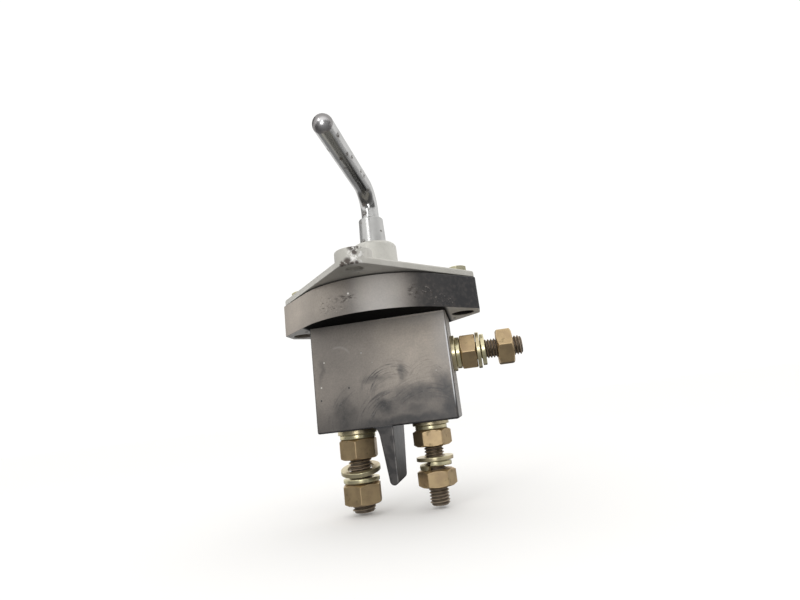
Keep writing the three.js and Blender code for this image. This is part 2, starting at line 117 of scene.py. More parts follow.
def sheet(name, width, height, colour, rough):
    """A flat rectangle that is part of the stage, not of the switch."""
    mat = bpy.data.materials.new(name)
    mat.use_nodes = True
    shader = mat.node_tree.nodes["Principled BSDF"]
    shader.inputs["Base Color"].default_value = (*colour, 1)
    shader.inputs["Roughness"].default_value = rough
    w, h = width / 2, height / 2
    mesh = bpy.data.meshes.new(name)
    mesh.from_pydata([(-w, -h, 0), (w, -h, 0), (w, h, 0), (-w, h, 0)], [], [(0, 1, 2, 3)])
    mesh.materials.append(mat)
    obj = linked(name, mesh)
    obj.visible_diffuse = False
    return obj


def floor():
    obj = sheet("floor", FLOOR_SIDE, FLOOR_SIDE, (0.97, 0.965, 0.955), 0.9)
    obj.location.z = FLOOR_HEIGHT
    obj.visible_glossy = False


def aim(obj, place, target):
    obj.location = place
    turn = (Vector(target) - Vector(place)).to_track_quat("-Z", "Y")
    obj.rotation_euler = turn.to_euler()
    obj.visible_camera = False


def softbox(name, place, size, power):
    data = bpy.data.lights.new(name, "AREA")
    data.shape = "RECTANGLE"
    data.size, data.size_y = size
    data.energy = power
    aim(linked(name, data), place, SWITCH_MIDDLE)


def flag(name, place, size, target=SWITCH_MIDDLE, shade=0.02):
    """A card outside the view, which gives the glossy surfaces something darker to reflect."""
    obj = sheet(name, *size, (shade,) * 3, 1)
    aim(obj, place, target)
    obj.visible_shadow = False


def world():
    """A white sky that fades, just below the horizon, into a grey that is lighter to the back."""
    made = bpy.data.worlds.new("world")
    made.use_nodes = True
    tree = made.node_tree
    coords = add_node(tree, "TexCoord", {})
    split = add_node(tree, "SeparateXYZ", {0: coords.outputs["Generated"]})
    height = {"Value": split.outputs[2], "From Min": HORIZON[0], "From Max": HORIZON[1]}
    fade = add_node(tree, "MapRange", height, interpolation_type="SMOOTHSTEP")
    ground = add_node(tree, "MapRange", {"Value": split.outputs[1], **GROUND})
    parts = {"Factor": fade.outputs["Result"], 6: ground.outputs["Result"], 7: SKY}
    mix = add_node(tree, "Mix", parts, data_type="RGBA")
    background = tree.nodes["Background"]
    put(tree, background.inputs["Color"], mix.outputs[2])
    background.inputs["Strength"].default_value = SKY_STRENGTH
    scene = bpy.context.scene
    scene.world = made
    scene.view_settings.view_transform = "Standard"
    scene.view_settings.look = "None"


camera()
floor()
world()
softbox("key", (-0.36, -0.85, 0.45), (0.12, 0.3), 0.75)
softbox("window", (0.18, -1.19, 0.08), (0.22, 0.5), 1.3)
softbox("lamp", (0.02, -0.42, -0.03), (0.11, 0.06), 0.19)
flag("flag_front", (0, -1.6, -0.1), (3.4, 1.5), shade=0.3)
flag("flag_right", (1.06, -0.56, 0.22), (1.6, 0.5), shade=0.18)
flag("flag_left", (-1, 0.45, 0.85), (1.2, 0.9), shade=0.6)
flag("flag_band", (0.09, 0.5, -0.3), (0.4, 0.35), target=(0, -0.035, 0.055))
flag("flag_low", (-1, -0.5, -0.22), (1, 0.6), target=(0, 0, -0.09), shade=0.2)
flag("reflector", (0.5, 0.6, -0.1), (0.6, 0.3), target=(0, 0, 0.05), shade=0.75)


# ---- mesh helpers, in millimetres
def inset(outline, depth):
    """A closed anticlockwise outline moved inwards by depth."""
    normals = []
    for (ax, ay), (bx, by) in zip(outline, outline[1:] + outline[:1]):
        length = hypot(bx - ax, by - ay)
        normals.append(((ay - by) / length, (bx - ax) / length))
    moved = []
    for i, (x, y) in enumerate(outline):
        (ax, ay), (bx, by) = normals[i - 1], normals[i]
        scale = depth / (1 + ax * bx + ay * by)
        moved.append((x + (ax + bx) * scale, y + (ay + by) * scale))
    return moved


def around(r, turn):
    return r * cos(turn), r * sin(turn)


def arc(cx, cy, r, start, end, steps=5):
    turns = [radians(start + (end - start) * i / steps) for i in range(steps + 1)]
    return [(cx + r * cos(t), cy + r * sin(t)) for t in turns]


def circle(centre, across, along, r, sides):
    """Points of a circle in the plane of two unit vectors."""
    turns = [tau * i / sides for i in range(sides)]
    return [centre + (across * cos(t) + along * sin(t)) * r for t in turns]


def tidy(points, least=0.02):
    """Drops points that lie on the one before."""
    return [p for i, p in enumerate(points) if dist(p, points[i - 1]) > least]


def rounded(corners, r, steps=5):
    """A convex polygon with its corners rounded; r is one radius or one for each corner."""
    radii = r if isinstance(r, list) else [r] * len(corners)
    out = []
    for i, (corner, radius) in enumerate(zip(corners, radii)):
        if not radius:
            out.append(corner)
            continue
        here = Vector(corner)
        to_a = (Vector(corners[i - 1]) - here).normalized()
        to_b = (Vector(corners[(i + 1) % len(corners)]) - here).normalized()
        half = to_a.angle(to_b) / 2
        cut = radius / tan(half)
        middle = here + (to_a + to_b).normalized() * (radius / sin(half))
        a, b = here + to_a * cut - middle, here + to_b * cut - middle
        for k in range(steps + 1):
            out.append(tuple(middle + a.lerp(b, k / steps).normalized() * radius))
    return tidy(out)


def rhombus(tip_x, tip_y, nose_y, nose_r, tip_r):
    """An outline with blunt tips on X and round noses on Y, as the flange and the cover have."""
    reach = hypot(tip_x, tip_y - nose_y)
    angle = degrees(atan2(tip_y - nose_y, tip_x) + acos(nose_r / reach))
    upper = arc(0, nose_y, nose_r, angle, 180 - angle, 28)
    lower = arc(0, -nose_y, nose_r, 180 + angle, 360 - angle, 28)
    corners = [(tip_x, -tip_y), (tip_x, tip_y), *upper, (-tip_x, tip_y), (-tip_x, -tip_y), *lower]
    tip, nose = [tip_r, tip_r], [0] * len(upper)
    return rounded(corners, tip + nose + tip + nose, 4)


class Shell:
    """Vertices and faces being gathered, in millimetres."""

    def __init__(self):
        self.verts, self.faces, self.wear = [], [], []

    def ring(self, points, wear=0):
        start = len(self.verts)
        self.verts += [Vector(p) for p in points]
        self.wear += wear if isinstance(wear, list) else [wear] * len(points)
        return list(range(start, start + len(points)))

    def skin(self, rings, capped=True):
        """Joins rings of equal length, and closes the first and the last. A ring may be one vertex
        repeated, because mesh drops a face's repeated corners."""
        for a, b in zip(rings, rings[1:]):
            for i in range(len(a)):
                j = (i + 1) % len(a)
                self.faces.append((a[i], a[j], b[j], b[i]))
        if capped:
            self.faces += [tuple(reversed(rings[0])), tuple(rings[-1])]
        return self

    def moved(self, matrix):
        self.verts = [matrix @ v for v in self.verts]
        return self

    def mesh(self, name):
        made = bmesh.new()
        layer = made.verts.layers.float.new("wear")
        verts = []
        for p, worn in zip(self.verts, self.wear):
            vert = made.verts.new((p.x * MM, p.y * MM, (p.z - DROP) * MM))
            vert[layer] = worn
            verts.append(vert)
        for f in self.faces:
            corners = [verts[i] for k, i in enumerate(f) if i != f[k - 1]]
            if len(set(corners)) > 2:
                made.faces.new(corners)
        bmesh.ops.remove_doubles(made, verts=made.verts, dist=WELD)
        bmesh.ops.dissolve_degenerate(made, edges=made.edges, dist=SLIVER)
        bmesh.ops.recalc_face_normals(made, faces=made.faces)
        mesh = bpy.data.meshes.new(name)
        made.to_mesh(mesh)
        made.free()
        return mesh


def block(outline, bottom, top, low=0, high=0, steps=4):
    """An outline raised from bottom to top, its lower and upper edges rounded by low and high."""
    rings = []

    def level(depth, height):
        shape = inset(outline, depth) if depth > TINY else outline
        rings.append([(x, y, height) for x, y in shape])

    for k in range(steps + 1 if low else 1):
        t = k / steps * QUARTER
        level(low * (1 - sin(t)), bottom + low * (1 - cos(t)))
    for k in range(steps + 1 if high else 1):
        t = k / steps * QUARTER
        level(high * (1 - cos(t)), top - high * (1 - sin(t)))
    shell = Shell()
    return shell.skin([shell.ring(r) for r in rings])


def lathe(profile, sides=72, centre=(0, 0)):
    """A profile of (radius, height, wear) turned round an upright axis; a ring's is closed."""
    shell = Shell()
    rings = []
    for r, z, *wear in profile:
        count = sides if r > TINY else 1
        turns = [tau * i / sides for i in range(count)]
        points = [(centre[0] + r * cos(t), centre[1] + r * sin(t), z) for t in turns]
        rings.append(shell.ring(points, wear[0] if wear else 0) * (sides // count))
    if profile[0][0] > TINY:
        rings.append(rings[0])
    return shell.skin(rings, capped=False)


def evaluated(obj):
    """Applies the object's modifiers."""
    graph = bpy.context.evaluated_depsgraph_get()
    mesh = bpy.data.meshes.new_from_object(obj.evaluated_get(graph))
    obj.modifiers.clear()
    old, obj.data = obj.data, mesh
    bpy.data.meshes.remove(old)


def combined(name, shells, cutters=(), late=()):
    """One mesh: the shells joined, the cutters taken away, and the late shells joined to that."""
    base = linked(name, shells[0].mesh(name))
    for kind, group in (("UNION", shells[1:]), ("DIFFERENCE", cutters), ("UNION", late)):
        for shell in group:
            tool = linked("tool", shell.mesh("tool"))
            step = base.modifiers.new("step", "BOOLEAN")
            step.operation = kind
            step.solver = "MANIFOLD"
            step.object = tool
            evaluated(base)
            bpy.data.meshes.remove(tool.data)  # and the tool with it
    return base


def finished(obj, body, slot, *nodes, sharp=32, weighted=True):
    """Smooth shading with sharp edges kept, then the piece's material, slot, body and CAD nodes."""
    mesh = obj.data
    mesh.name = obj.name
    mesh.polygons.foreach_set("use_smooth", [True] * len(mesh.polygons))
    mesh.set_sharp_from_angle(angle=radians(sharp))
    if weighted:
        step = obj.modifiers.new("normals", "WEIGHTED_NORMAL")
        step.keep_sharp = True
        step.weight = 100
        evaluated(obj)
    obj.data.materials.clear()
    obj.data.materials.append(LOOKS[slot])
    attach(obj, body)
    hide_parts(*nodes)


# ---- materials
LOOKS = {}


class Look:
    """A node material. Its coordinates are the object's own, which are the row frame's at rest."""

    def __init__(self, name, colour, rough, metal=0):
        mat = LOOKS[name] = bpy.data.materials.new(name)
        mat.use_nodes = True
        self.tree = mat.node_tree
        self.shader = self.tree.nodes["Principled BSDF"]
        coords = self.node("TexCoord", {}).outputs
        self.where = coords["Object"]
        self.x, self.y, self.z = self.node("SeparateXYZ", {0: self.where}).outputs
        self.facing = self.node("SeparateXYZ", {0: coords["Normal"]}).outputs  # each -1 to 1
        self.worn = self.node("Attribute", {}, attribute_name="wear").outputs["Fac"]
        self.colour = (*colour, 1)
        self.rough = rough
        self.metal = metal
        self.height = 0.0

    def node(self, kind, values, **settings):
        return add_node(self.tree, kind, values, **settings)

    def math(self, operation, *values, clamp=False):
        node = self.node("Math", dict(enumerate(values)), operation=operation, use_clamp=clamp)
        return node.outputs[0]

    def times(self, first, *others):
        for other in others:
            first = self.math("MULTIPLY", first, other)
        return first

    def most(self, first, *others):
        for other in others:
            first = self.math("MAXIMUM", first, other)
        return first

    def scaled(self, mask, gain, base):
        """The mask times gain, plus base."""
        return self.math("MULTIPLY_ADD", mask, gain, base)

    def beyond(self, mask, low, high):
        """0 at low, 1 at high, smooth between; low may be the larger."""
        values = {"Value": mask, "From Min": low, "From Max": high}
        return self.node("MapRange", values, interpolation_type="SMOOTHSTEP").outputs["Result"]

    def past(self, axis, low, high):
        """The same between two places on an axis, in millimetres."""
        return self.beyond(axis, low * MM, high * MM)

    def mapped(self, where, scale, offset):
        values = {"Vector": where, "Scale": scale, "Location": offset}
        return self.node("Mapping", values).outputs[0]

    def noise(self, size, detail=3, stretch=(1, 1, 1), offset=0, vector=None):
        """A noise whose features are about `size` millimetres."""
        if vector is None:
            vector = self.mapped(self.where, [1000 / size / s for s in stretch], (offset,) * 3)
        values = {"Vector": vector, "Scale": 1, "Detail": detail, "Roughness": 0.55}
        return self.node("TexNoise", values).outputs["Fac"]

    def blotch(self, size, detail, low, high, offset=0):
        """A noise cut to a mask that is 0 at low and 1 at high."""
        return self.beyond(self.noise(size, detail, offset=offset), low, high)

    def spots(self, size, keep, offset=0, radius=0.18):
        """Small round spots about `size` apart, of which the share `keep` is there."""
        vector = self.mapped(self.where, (1000 / size,) * 3, (offset,) * 3)
        cells = self.node("TexVoronoi", {"Vector": vector, "Scale": 1}).outputs
        near = self.beyond(cells["Distance"], radius, radius * 0.55)
        split = self.node("SeparateColor", {0: cells["Color"]})
        return self.times(near, self.math("LESS_THAN", split.outputs[0], keep))

    def near(self, centre, radius, soft=0.5, squash=(1, 1, 1), warp=None, shift=0):
        """1 within radius millimetres of a point, 0 beyond, softly; warp moves it by shift."""
        where = self.where
        if warp is not None:
            half = {0: where, 1: [shift * MM / 2] * 3}
            back = self.node("VectorMath", half, operation="SUBTRACT").outputs[0]
            move = {0: warp, 1: [shift * MM] * 3, 2: back}
            where = self.node("VectorMath", move, operation="MULTIPLY_ADD").outputs[0]
        scale = [1000 / (radius * s) for s in squash]
        place = self.mapped(where, scale, [-c * s / 1000 for c, s in zip(centre, scale)])
        length = self.node("VectorMath", {0: place}, operation="LENGTH").outputs["Value"]
        return self.beyond(length, 1 + soft / 2, 1 - soft / 2)

    def arcs(self, centre, inner, outer, start, end, pitch, offset):
        """Curved wiping marks round a point of the front: their lines, and the sector they fill."""
        across = self.math("SUBTRACT", self.x, centre[0] * MM)
        up = self.math("SUBTRACT", self.z, centre[1] * MM)
        square = self.math("ADD", self.times(across, across), self.times(up, up))
        radius = self.times(self.math("SQRT", square), 1000)
        angle = self.math("ARCTAN2", up, across)
        spread = {0: self.math("DIVIDE", radius, pitch), 1: self.times(angle, 1.3), 2: offset}
        vector = self.node("CombineXYZ", spread).outputs[0]
        lines = self.beyond(self.noise(1, 4, vector=vector), 0.47, 0.61)

        def between(value, low, high, fade):
            rise = self.beyond(value, low - fade, low + fade)
            return self.times(rise, self.beyond(value, high + fade, high - fade))

        band = between(radius, inner, outer, 0.35 * (outer - inner))
        return lines, self.times(band, between(angle, radians(start), radians(end), 0.25))

    def blend(self, colour, *masks):
        """Lays a colour over what is there, as far as the masks' product says."""
        values = {"Factor": self.times(*masks), 6: self.colour, 7: (*colour, 1)}
        self.colour = self.node("Mix", values, data_type="RGBA").outputs[2]

    def roughen(self, mask, amount):
        self.rough = self.math("MULTIPLY_ADD", mask, amount, self.rough, clamp=True)

    def dull(self, mask, amount):
        self.metal = self.math("MULTIPLY_ADD", mask, -amount, self.metal, clamp=True)

    def raise_by(self, mask, amount):
        """Adds mask times amount, in micrometres, to the bump height."""
        self.height = self.scaled(mask, amount * 1e-6, self.height)

    def done(self):
        """Joins everything to the shader."""
        bump = self.node("Bump", {"Distance": 1, "Strength": 1, "Height": self.height}).outputs[0]
        values = {"Base Color": self.colour, "Roughness": self.rough, "Metallic": self.metal,
                  "Normal": bump}
        for key, value in values.items():
            put(self.tree, self.shader.inputs[key], value)


# The front's wiped patches: across, up, half width and half height in mm, and how clean.
SMUDGES = (
    (18, -64, 11, 4, 0.70), (30, -63, 6, 6.5, 0.78), (9, -66.5, 5, 2.5, 0.50),
    (1.7, -69, 5, 3.2, 0.85), (14.5, -70.5, 4.5, 2.6, 0.50), (32, -73, 3.5, 9, 0.85),
    (14, -76.8, 28, 2.4, 0.75), (-21, -71, 5, 7.5, 0.60), (-3, -55, 6.5, 1.8, 0.50),
    (10.5, -53.5, 2, 3.6, 0.60), (-30, -48, 1.6, 4.5, 0.35),
)
# Its curved wiping marks: centre, inner and outer radius, two angles, pitch, how clean.
WIPES = (
    ((6.5, -81), 13, 22, 95, 178, 1.1, 1),
    ((5, -64.5), 10, 17, 55, 170, 1, 1),
    ((22, -84), 17, 28, 50, 130, 1.1, 0.8),
    ((-5, -77), 15, 24, 120, 180, 1.2, 0.7),
    ((24, -60), 4, 12, 10, 160, 0.9, 0.5),
)
# Its single specks: across, up, radius and colour.
PALE_SPECK, DARK_SPECK = (0.7, 0.68, 0.62), (0.03, 0.03, 0.03)
SPECKS = (
    (-28.8, -43.8, 0.35, PALE_SPECK), (-31.2, -56.1, 0.38, PALE_SPECK),
    (-9.1, -41.3, 0.3, (0.5, 0.5, 0.48)), (-17, -57.8, 0.45, DARK_SPECK),
    (-31.7, -62.5, 0.4, DARK_SPECK),
)
# Chipped areas of the flange's rim: centre, radius, squash, size of the chips and their threshold.
CHIPS = (
    ((-9, -39, -17.5), 3.2, (1.7, 1, 0.55), 1.5, 0.50),
    ((-19.5, -36, -18.5), 4.5, (1, 1, 1.1), 1, 0.60),
    ((-15, -37.5, -21.5), 5, (1.5, 1, 0.4), 0.9, 0.62),
    ((23, -34, -18), 2.6, (1, 1, 1.5), 1.3, 0.54),
    ((29, -30, -17.5), 3.2, (1.4, 1, 0.8), 1.2, 0.57),
    ((36, -24, -22), 6, (1.4, 1.4, 0.5), 0.9, 0.60),
)


def wiping(m):
    """The curved wiping marks on the front."""
    streaks = []
    for centre, inner, outer, start, end, pitch, strength in WIPES:
        lines, within = m.arcs(centre, inner, outer, start, end, pitch, inner)
        streaks.append(m.times(lines, within, strength))
    patch = m.scaled(m.blotch(9, 2, 0.38, 0.6, 9), 0.7, 0.3)
    return m.times(m.most(*streaks), patch, m.wiped)


def smudged(m):
    """The wiped patches on the front, their outlines broken up by a drifting noise."""
    values = {"Vector": m.mapped(m.where, (160,) * 3, (3,) * 3), "Scale": 1, "Detail": 4}
    drift = m.node("TexNoise", values).outputs["Color"]
    patches = []
    for across, up, wide, tall, strength in SMUDGES:
        patch = m.near((across, -17, up), wide, 1.5, (1, 9, tall / wide), drift, 8)
        patches.append(m.times(patch, strength))
    broken = m.scaled(m.noise(2.6, 5, offset=12), 0.9, 0.5)
    return m.times(m.most(*patches), broken)


def flange_dust_and_sheen(m):
    x, z = m.x, m.z
    # Dust with painted light over it: brighter to the left, a painted sheen in the middle, darker
    # to the right.
    left = m.times(m.scaled(m.past(x, -4, -40), 0.34, 0.26), m.past(x, 12, -4))
    middle = m.times(m.near((6.8, -40, -17), 11.5, 1.7, (1, 9, 9)), 0.63)
    right = m.times(m.past(x, 48, 8), 0.095)
    dust = m.math("ADD", m.most(left, middle), right)
    return m.times(dust, m.scaled(m.past(z, -17, -25), -0.17, 1))


def body_dust_and_shading(m):
    x, z = m.x, m.z
    # A painted lighter patch, standing for a sheen, on the upper right of the front.
    painted_light_upper_right = m.times(m.near((22, -17, -42), 24, 1.7, (1, 9, 0.8)), 0.355)
    dust = m.scaled(m.past(z, -79, -58), 0.19, m.math("ADD", painted_light_upper_right, 0.155))
    # Painted shade: less dust along the top of the front, under the flange, towards the left.
    shade = m.times(m.past(z, -31, -26), m.past(x, 26, 5))
    dust = m.times(dust, m.scaled(shade, -0.12, 1), m.scaled(m.fin, -0.55, 1))
    ledge = m.times(m.past(z, -26.5, -26.2), m.past(x, -12, 20))
    off_corner = m.times(m.past(x, -35.25, -34.3), m.past(z, -78.55, -77.5))
    return m.times(m.scaled(ledge, 0.35, dust), m.most(off_corner, m.fin))


def dust_and_painted_light(m):
    """The dust with its painted sheen, light and shade, less what has been wiped away."""
    on_body = m.times(body_dust_and_shading(m), m.off_flange)
    dust_and_sheen = m.math("ADD", m.times(flange_dust_and_sheen(m), m.on_flange), on_body)
    fine = m.scaled(m.noise(0.8, 5, offset=1.7), 0.6, 0.7)
    dust_and_sheen = m.times(dust_and_sheen, m.upright)
    dust_and_sheen = m.math("MULTIPLY", dust_and_sheen, m.times(m.patchy, fine), clamp=True)
    smudges = m.times(smudged(m), m.wiped)
    for gone in (m.times(m.streaks, 0.75), smudges):
        dust_and_sheen = m.times(dust_and_sheen, m.math("SUBTRACT", 1, gone, clamp=True))
    m.blend((0.63, 0.555, 0.475), dust_and_sheen)
    m.roughen(dust_and_sheen, 0.4)


def sheen_and_scuffs(m):
    """A painted cool sheen to the upper right, a painted gleam on the flange, and pale scuffs."""
    x, z = m.x, m.z
    # Painted sheen: a cool tone at the right of the front and along its upper right.
    top = m.times(m.past(x, 8, 26), m.past(z, -33, -28), 0.07)
    painted_cool_sheen = m.most(m.times(m.past(x, 24, 34), m.past(z, -66, -40), 0.16), top)
    m.blend((0.50, 0.55, 0.62), painted_cool_sheen, m.off_flange, m.upright)
    # A painted highlight: the gleam on the flange's front.
    gleam = m.near((7, -40, -17), 9.5, 1.8, (1, 9, 9))
    m.blend((0.56, 0.58, 0.60), gleam, m.on_flange, m.upright, 0.35)
    ring = m.arcs((-21, -43), 5.6, 6.6, 25, 115, 3, 40)[1]
    m.blend((0.8, 0.78, 0.74), ring, m.wiped, 0.10)
    m.blend((0.6, 0.58, 0.56), m.streaks, m.blotch(0.8, 3, 0.52, 0.66, 21), 0.16)


def edges(m):
    """The body's right edge: a painted highlight line, a painted dark reflection line beside it,
    and dust on both sides.
    """
    x, z = m.x, m.z
    # Painted highlight along the rounded edge.
    highlight_line = m.times(m.past(x, 34.1, 34.4), m.past(x, 34.9, 34.6))
    highlight_line = m.times(highlight_line, m.past(z, -30, -35), m.past(z, -74, -64))
    broken = m.scaled(m.noise(5, 3, offset=31), 0.6, 0.45)
    m.blend((0.9, 0.92, 0.95), highlight_line, broken, m.off_flange)
    # Painted reflection: a dark line beside the highlight.
    dark_reflection_line = m.times(m.past(x, 34.8, 35), m.past(x, 35.29, 35.2))
    m.blend((0.012, 0.012, 0.013), dark_reflection_line, m.off_flange, 0.8)
    sideways = m.beyond(m.math("ABSOLUTE", m.facing[0]), 0.85, 0.98)
    side = m.times(sideways, m.past(m.math("ABSOLUTE", x), 34.8, 35.2))
    m.blend((0.50, 0.475, 0.44), side, m.off_flange, m.patchy, 0.24)


def ear_undersides(m):
    """The flange's underside: painted shade, black, in the crescent at the body, and painted light
    on the ears beyond it.
    """
    under = m.times(m.beyond(m.facing[2], -0.5, -0.9), m.past(m.z, -26.5, -25.9))
    reach = m.math("ABSOLUTE", m.x)
    painted_shade_crescent = m.times(under, m.past(reach, 37, 35))
    # Painted shade: black, made metallic so that it shows no reflection.
    m.blend((0.006, 0.006, 0.006), painted_shade_crescent)
    m.roughen(painted_shade_crescent, 0.6)
    m.metal = painted_shade_crescent
    # Painted light on the ears' undersides.
    m.blend((0.80, 0.77, 0.71), under, m.past(reach, 36, 38), 0.95)


def specks(m):
    rusty = m.spots(1.7, 0.14, 3.3, 0.16)
    m.blend((0.22, 0.13, 0.10), rusty, m.near((14, -17, -67), 20, 0.8, (1.1, 3, 0.45)), 0.5)
    dust = m.most(m.spots(4.2, 0.10, radius=0.07), m.spots(9, 0.2, 5, radius=0.05))
    m.blend((0.6, 0.58, 0.54), dust, 0.5)
    for across, up, size, colour in SPECKS:
        m.blend(colour, m.near((across, -17.2, up), size, 0.6))


def chips(m):
    for centre, size, squash, grain, low in CHIPS:
        grainy = m.noise(grain, 4, (1.6, 1.2, 0.8), size)
        within = m.near(centre, size, 0.8, squash)
        chips = m.times(within, m.beyond(grainy, low, low + 0.07))
        m.blend((0.035, 0.026, 0.020), chips, 0.7)
        m.raise_by(chips, -120)
        m.blend((0.60, 0.55, 0.48), within, m.beyond(grainy, 0.40, 0.34), 0.28)
    m.blend((0.8, 0.78, 0.73), m.near((-7.1, -39.6, -15.5), 0.45, 0.8))
    mottle = m.times(m.blotch(2.2, 5, 0.42, 0.7, 17), m.past(m.x, 16, 26))
    m.blend((0.5, 0.43, 0.36), mottle, m.on_flange, 0.06)


def fin_highlight_and_blotches(m):
    # A painted highlight along the fin's right front edge.
    edge = m.times(m.past(m.x, 2.2, 2.5), m.past(m.x, 2.9, 2.7))
    broken = m.scaled(m.noise(3, 3, offset=33), 0.4, 0.02)
    m.blend((0.7, 0.68, 0.66), edge, m.fin, m.beyond(m.facing[1], -0.5, -0.8), broken)
    m.blend((0.012, 0.012, 0.014), m.blotch(4, 5, 0.44, 0.6, 14), m.fin, 0.6)


def phenolic():
    """Moulded phenolic: dark and glossy under a tan film of dust, wiped off in arcs and patches,
    with painted sheens, highlights, light and shade.
    """
    m = Look("phenolic", (0.021, 0.021, 0.024), 0.36)
    m.upright = m.beyond(m.math("ABSOLUTE", m.facing[2]), 0.75, 0.35)
    m.on_flange = m.past(m.z, -25.8, -25.2)
    m.off_flange = m.math("SUBTRACT", 1, m.on_flange)
    m.wiped = m.times(m.off_flange, m.past(m.y, -8, -14))
    m.fin = m.past(m.z, -78.4, -80.5)
    m.patchy = m.scaled(m.blotch(17, 3, 0.3, 0.7, 3.1), 0.22, 0.88)
    m.streaks = wiping(m)
    for mark in (dust_and_painted_light, sheen_and_scuffs, edges, ear_undersides, specks, chips, fin_highlight_and_blotches):
        mark(m)
    m.raise_by(m.noise(0.7, 4), 4)
    m.raise_by(m.noise(9, 2, offset=6), 25)
    m.done()


# Corrosion on the cover's front pad: centre, radius and threshold.
CORROSION = (
    ((1.6, -60, -0.3), 1.9, 0.40), ((4.4, -59, 0.3), 1.7, 0.43), ((2.6, -59.8, -2.8), 1.3, 0.40),
    ((-0.8, -60, -6.7), 1.8, 0.38), ((-3.4, -59.4, -7.5), 1.6, 0.44),
    ((1.2, -60.2, -8.2), 1.3, 0.44), ((3.2, -59.6, -7.5), 0.9, 0.42),
)


def casting():
    """Light grey cast cover, with dark corrosion and bright flakes on the front pad, and painted
    shade in the pad's bolt hole.
    """
    m = Look("cast_cover", (0.66, 0.65, 0.605), 0.44, 0.3)
    m.blend((0.56, 0.55, 0.505), m.blotch(16, 4, 0.35, 0.7, 2))
    m.blend((0.47, 0.46, 0.425), m.blotch(1.2, 4, 0.5, 0.8, 7), 0.5)
    m.blend((0.42, 0.395, 0.35), m.past(m.z, 4, -6), 0.3)
    flakes = m.near((3, -59.5, -4), 3.6, 1, (0.9, 1, 1.3))
    flakes = m.times(flakes, m.blotch(1.6, 4, 0.46, 0.56, 9))
    m.blend((0.86, 0.85, 0.82), flakes)
    m.raise_by(flakes, 30)
    patches = [m.times(m.near(centre, size, 0.9), m.blotch(1.5, 5, start, start + 0.06, size))
               for centre, size, start in CORROSION]
    rot = m.most(*patches, m.spots(8, 0.1, 2, 0.05))
    m.blend((0.06, 0.043, 0.033), rot, 0.92)
    m.dull(rot, 0.3)
    m.roughen(rot, 0.3)
    m.raise_by(rot, -60)
    # Painted shade inside the front pad's bolt hole, broken up by noise.
    hole_shade_noise = m.scaled(m.noise(3, 3, offset=12), 1.2, 0.05)
    m.blend((0.12, 0.10, 0.085), m.near((0, -51.5, -8), 4.2, 0.15, (1, 1, 1.6)), hole_shade_noise, 0.65)
    m.raise_by(m.noise(0.9, 3), 12)
    m.raise_by(m.noise(4, 3, offset=4), 35)
    m.done()


def bright_steel(name, colour, rough, marks=(), turning=0, painted_lever_light=False):
    """Machined steel, pitted by rust at the marks; turning is the height of its tool marks. For the
    lever, it paints a dark reflection band along the arm's underside, a dark reflection on the
    rounded end with a highlight on it, and a darker patch under the knee."""
    m = Look(name, colour, rough, 1)
    m.shader.inputs["Specular Tint"].default_value = (0.75, 0.75, 0.75, 1)
    m.blend([c * 0.9 for c in colour], m.blotch(9, 3, 0.4, 0.7, 1))
    m.roughen(m.blotch(5, 4, 0.4, 0.7, 3), 0.06)
    if painted_lever_light:
        # Painted reflection: a dark band along the arm's underside.
        dark_band_facing = m.scaled(m.facing[0], 0.30, m.times(m.facing[2], -0.954))
        arm = m.past(m.y, -7, -14)
        m.blend([c * 0.20 for c in colour], m.beyond(dark_band_facing, 0.91, 0.985), arm, 0.8)
        # Painted reflection: the rounded end darkened.
        end = m.times(m.past(m.y, -66.5, -67.3), 0.8)
        m.blend((0.25, 0.235, 0.235), end)
        m.roughen(end, 0.12)
        # A painted highlight on the end.
        m.blend((0.92, 0.91, 0.92), m.near((-3.2, -70.1, 54.9), 2.4, 1.2), 0.9)
        # A darker patch painted under the knee.
        m.blend((0.10, 0.09, 0.08), m.near((-0.7, -7.4, 46.8), 4.8, 0.7, (0.8, 1, 1)), 0.68)
    if marks:
        broken = m.blotch(0.9, 4, 0.36, 0.52, 11)
        pits = [m.times(m.near(centre, size, 0.9, (1, 1.3, 1)), broken) for centre, size in marks]
        rust = m.most(m.spots(6, 0.16, 1, 0.07), *pits)
        m.blend((0.08, 0.06, 0.045), rust, 0.9)
        m.dull(rust, 0.8)
        m.roughen(rust, 0.4)
        m.raise_by(rust, -40)
    if turning:
        m.raise_by(m.noise(0.25, 2, (60, 60, 1)), turning)
    m.raise_by(m.noise(6, 2, offset=5), 3)
    m.done()


def zinc(name, colour, tint, rough, mottle=5, grime=0.5, bump=1):
    """Passivated zinc plate: a coloured metal whose tint drifts, brighter where edges are worn."""
    m = Look(name, colour, rough, 0.9)
    m.blend(tint, m.blotch(mottle, 4, 0.35, 0.7, 2))
    m.blend([min(1, c * 1.5) for c in colour], m.worn, 0.6)
    dirt = m.times(m.blotch(2.4, 4, 0.58, 0.72, 6), grime)
    m.blend([c * 0.45 for c in colour], dirt)
    m.roughen(dirt, 0.2)
    m.roughen(m.blotch(6, 3, 0.4, 0.65, 8), 0.08)
    m.raise_by(m.noise(1.8, 2, offset=4), bump)
    m.done()


def threaded(name):
    """Dull steel thread, its crests rubbed bright."""
    m = Look(name, (0.19, 0.155, 0.12), 0.45, 0.85)
    m.blend((0.52, 0.43, 0.33), m.beyond(m.worn, 0.25, 0.95))
    m.blend((0.16, 0.125, 0.085), m.blotch(3, 3, 0.5, 0.75, 2))
    m.roughen(m.noise(1.5, 3), 0.15)
    m.raise_by(m.noise(0.5, 3, offset=4), 10)
    m.done()


